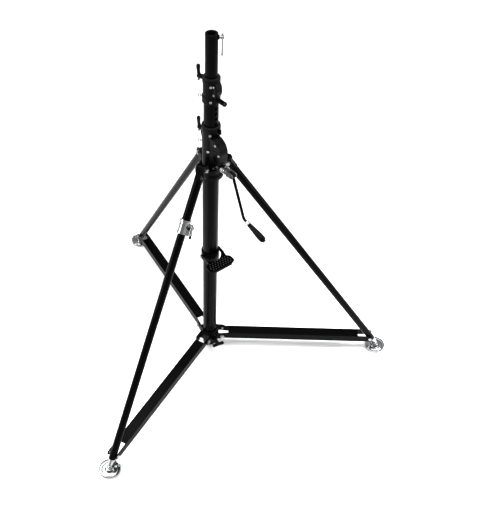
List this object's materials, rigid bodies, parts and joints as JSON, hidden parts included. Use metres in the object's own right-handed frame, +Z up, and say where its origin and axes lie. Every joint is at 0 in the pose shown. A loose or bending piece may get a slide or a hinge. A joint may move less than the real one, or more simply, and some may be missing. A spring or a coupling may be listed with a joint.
{
  "type": "crank lighting stand",
  "caption": "Wind-up lighting stand: geared telescopic column with crank, lock levers and spigot socket on a folding braced tripod with a levelling leg, foot pedal and swivel feet.",
  "frame": {"origin": "column axis at floor level, all feet on the floor, both risers down", "axes": "+Z up along the column; +X towards the plain leg on the right; the levelling leg at -120 degrees, the other plain leg at +120 degrees"},
  "size_m": [1.2901, 1.48, 1.6702],
  "materials": {
    "black_gloss": "gloss black powder coat on steel tube",
    "black_casting": "satin black coated casting",
    "black_sheet": "black coated pressed steel with raised dots",
    "black_plastic": "black moulded nylon",
    "zinc_bolts": "bright zinc plated steel",
    "bush_plastic": "black acetal guide bush",
    "bright_ring": "bright steel",
    "chrome": "bright chrome plated steel",
    "pad_rubber": "grey-black rubber",
    "gear_steel": "greased machined steel",
    "gear_brass": "machined bronze",
    "yoke_steel": "grey cast steel fork",
    "arm_black": "black coated steel rod",
    "socket_metal": "black coated steel insert"
  },
  "bodies": {
    "column": {"base_tube": "black_gloss", "lower_tube": "black_gloss", "base_cap": "black_plastic", "leg_hub": "black_casting", "hub_bolts": "zinc_bolts", "gearbox_casting": "black_casting", "gearbox_cover": "black_casting", "gearbox_screws": "zinc_bolts", "gearbox_bush": "bush_plastic", "gearbox_ring": "bright_ring", "crank_boss": "chrome", "pedal_collar": "black_casting", "pedal_bolts": "zinc_bolts"},
    "base_hub": {"base_hub": "black_casting", "base_hub_bolts": "zinc_bolts"},
    "base_knob": {"base_knob": "black_plastic"},
    "strut_a": {"strut_a": "black_gloss", "foot_stub_a": "chrome"},
    "strut_c": {"strut_c": "black_gloss", "foot_stub_c": "chrome"},
    "strut_b": {"strut_b": "black_gloss", "level_collar": "chrome"},
    "level_leg": {"level_tube": "black_gloss", "foot_stub_b": "chrome"},
    "level_lever": {"level_lever": "black_plastic"},
    "foot_a": {"foot_disc_a": "chrome", "foot_pad_a": "pad_rubber"},
    "foot_b": {"foot_disc_b": "chrome", "foot_pad_b": "pad_rubber"},
    "foot_c": {"foot_disc_c": "chrome", "foot_pad_c": "pad_rubber"},
    "brace_a": {"brace_a": "black_gloss", "brace_bolts_a": "zinc_bolts"},
    "brace_b": {"brace_b": "black_gloss", "brace_bolts_b": "zinc_bolts"},
    "brace_c": {"brace_c": "black_gloss", "brace_bolts_c": "zinc_bolts"},
    "pedal": {"pedal": "black_sheet"},
    "mid": {"mid_riser": "black_gloss", "mid_foot_bush": "bush_plastic", "upper_collar": "black_casting", "upper_screws": "zinc_bolts", "upper_bush": "bush_plastic", "upper_ring": "bright_ring"},
    "drive": {"sprocket": "gear_steel", "sprocket_shaft": "gear_steel", "worm_wheel": "gear_brass"},
    "crank": {"worm_shaft": "gear_steel", "crank_yoke": "yoke_steel"},
    "crank_arm": {"crank_arm": "arm_black", "crank_ferrule": "bright_ring"},
    "grip": {"crank_grip": "black_plastic"},
    "lower_lever": {"lower_lever": "black_plastic"},
    "upper_lever": {"upper_lever": "black_plastic"},
    "plunger": {"plunger_knob": "black_plastic"},
    "top": {"top_riser": "black_gloss", "top_foot_bush": "bush_plastic", "top_socket": "socket_metal"},
    "socket_screw": {"socket_screw": "bright_ring"},
    "tommy_bar": {"tommy_bar": "bright_ring"}
  },
  "joints": [
    {"name": "base_fold", "type": "slide", "parent": "column", "child": "base_hub", "axis": [0, 0, 1], "range_m": [0, 0.19]},
    {"name": "strut_a_fold", "type": "hinge", "parent": "column", "child": "strut_a", "pos_m": [0.066, 0, 1.1206], "axis": [0, 1, 0], "range_deg": [0, 1.9]},
    {"name": "strut_b_fold", "type": "hinge", "parent": "column", "child": "strut_b", "pos_m": [-0.033, -0.05716, 1.1206], "axis": [0.866, -0.5, 0], "range_deg": [0, 1.86]},
    {"name": "strut_c_fold", "type": "hinge", "parent": "column", "child": "strut_c", "pos_m": [-0.033, 0.05716, 1.1206], "axis": [-0.866, -0.5, 0], "range_deg": [0, 1.9]},
    {"name": "brace_a_fold", "type": "hinge", "parent": "base_hub", "child": "brace_a", "pos_m": [0.06, 0, 0.08], "axis": [0, 1, 0], "range_deg": [0, 17.71]},
    {"name": "brace_b_fold", "type": "hinge", "parent": "base_hub", "child": "brace_b", "pos_m": [-0.03, -0.05196, 0.08], "axis": [0.866, -0.5, 0], "range_deg": [0, 17.33]},
    {"name": "brace_c_fold", "type": "hinge", "parent": "base_hub", "child": "brace_c", "pos_m": [-0.03, 0.05196, 0.08], "axis": [-0.866, -0.5, 0], "range_deg": [0, 17.71]},
    {"name": "level_slide", "type": "slide", "parent": "strut_b", "child": "level_leg", "axis": [-0.2805, -0.4859, -0.8278], "range_m": [0, 0.1]},
    {"name": "level_lever_turn", "type": "hinge", "parent": "strut_b", "child": "level_lever", "pos_m": [-0.07483, -0.1846, 0.9269], "axis": [-0.4139, -0.7169, 0.561], "range_deg": [-5, 90]},
    {"name": "foot_a_tilt", "type": "hinge", "parent": "strut_a", "child": "foot_a", "pos_m": [0.7935, 0, 0.024], "axis": [0, 1, 0], "range_deg": [-8, 12]},
    {"name": "foot_b_tilt", "type": "hinge", "parent": "level_leg", "child": "foot_b", "pos_m": [-0.40462, -0.70083, 0.024], "axis": [0.866, -0.5, 0], "range_deg": [-8, 12]},
    {"name": "foot_c_tilt", "type": "hinge", "parent": "strut_c", "child": "foot_c", "pos_m": [-0.39675, 0.68719, 0.024], "axis": [-0.866, -0.5, 0], "range_deg": [-8, 12]},
    {"name": "base_knob_turn", "type": "hinge", "parent": "base_hub", "child": "base_knob", "pos_m": [0.042, -0.07275, 0.074], "axis": [0.5, -0.866, 0], "range_deg": [-180, 180]},
    {"name": "pedal_press", "type": "hinge", "parent": "column", "child": "pedal", "pos_m": [0, 0, 0.612], "axis": [0.788, 0.6157, 0], "range_deg": [0, 18], "stiffness_Nm_per_rad": 1, "springref_deg": -28.65},
    {"name": "mid_lift", "type": "slide", "parent": "column", "child": "mid", "axis": [0, 0, 1], "range_m": [0, 1]},
    {"name": "sprocket_turn", "type": "hinge", "parent": "column", "child": "drive", "pos_m": [0.0329, -0.03654, 1.167], "axis": [0.7431, 0.6691, 0], "range_deg": [0, 2610.7]},
    {"name": "crank_turn", "type": "hinge", "parent": "column", "child": "crank", "pos_m": [0.08536, -0.11422, 1.138], "axis": [0.6691, -0.7431, 0], "range_deg": [0, 26092]},
    {"name": "crank_fold", "type": "hinge", "parent": "crank", "child": "crank_arm", "pos_m": [0.08536, -0.11422, 1.138], "axis": [0.7431, 0.6691, 0], "range_deg": [-60, 20]},
    {"name": "grip_spin", "type": "hinge", "parent": "crank_arm", "child": "grip", "pos_m": [0.17032, -0.20859, 0.94993], "axis": [0.6432, -0.7144, -0.2756], "continuous": true},
    {"name": "lower_lever_turn", "type": "hinge", "parent": "column", "child": "lower_lever", "pos_m": [-0.04415, 0.02347, 1.262], "axis": [-0.8829, 0.4695, 0], "range_deg": [-90, 90]},
    {"name": "upper_lever_turn", "type": "hinge", "parent": "mid", "child": "upper_lever", "pos_m": [-0.04415, 0.02347, 1.486], "axis": [-0.8829, 0.4695, 0], "range_deg": [-90, 90]},
    {"name": "plunger_pull", "type": "slide", "parent": "mid", "child": "plunger", "axis": [0.6691, -0.7431, 0], "range_m": [0, 0.005], "stiffness_N_per_m": 600, "springref_m": -0.006},
    {"name": "top_lift", "type": "slide", "parent": "mid", "child": "top", "axis": [0, 0, 1], "range_m": [0, 0.95]},
    {"name": "socket_screw_turn", "type": "hinge", "parent": "top", "child": "socket_screw", "pos_m": [0.0375, 0, 1.655], "axis": [1, 0, 0], "range_deg": [-180, 180]},
    {"name": "tommy_bar_slide", "type": "slide", "parent": "socket_screw", "child": "tommy_bar", "axis": [0, 0, 1], "range_m": [0, 0.054]}
  ],
  "couplings": [
    {"joint": "strut_a_fold", "follows": "base_fold", "rad_per_m": 0.1703},
    {"joint": "strut_b_fold", "follows": "base_fold", "rad_per_m": 0.16655},
    {"joint": "strut_c_fold", "follows": "base_fold", "rad_per_m": 0.1703},
    {"joint": "brace_a_fold", "follows": "base_fold", "rad_per_m": 1.6223},
    {"joint": "brace_b_fold", "follows": "base_fold", "rad_per_m": 1.5871},
    {"joint": "brace_c_fold", "follows": "base_fold", "rad_per_m": 1.6223},
    {"joint": "sprocket_turn", "follows": "mid_lift", "rad_per_m": 45.53},
    {"joint": "crank_turn", "follows": "mid_lift", "rad_per_m": 455.3}
  ]
}
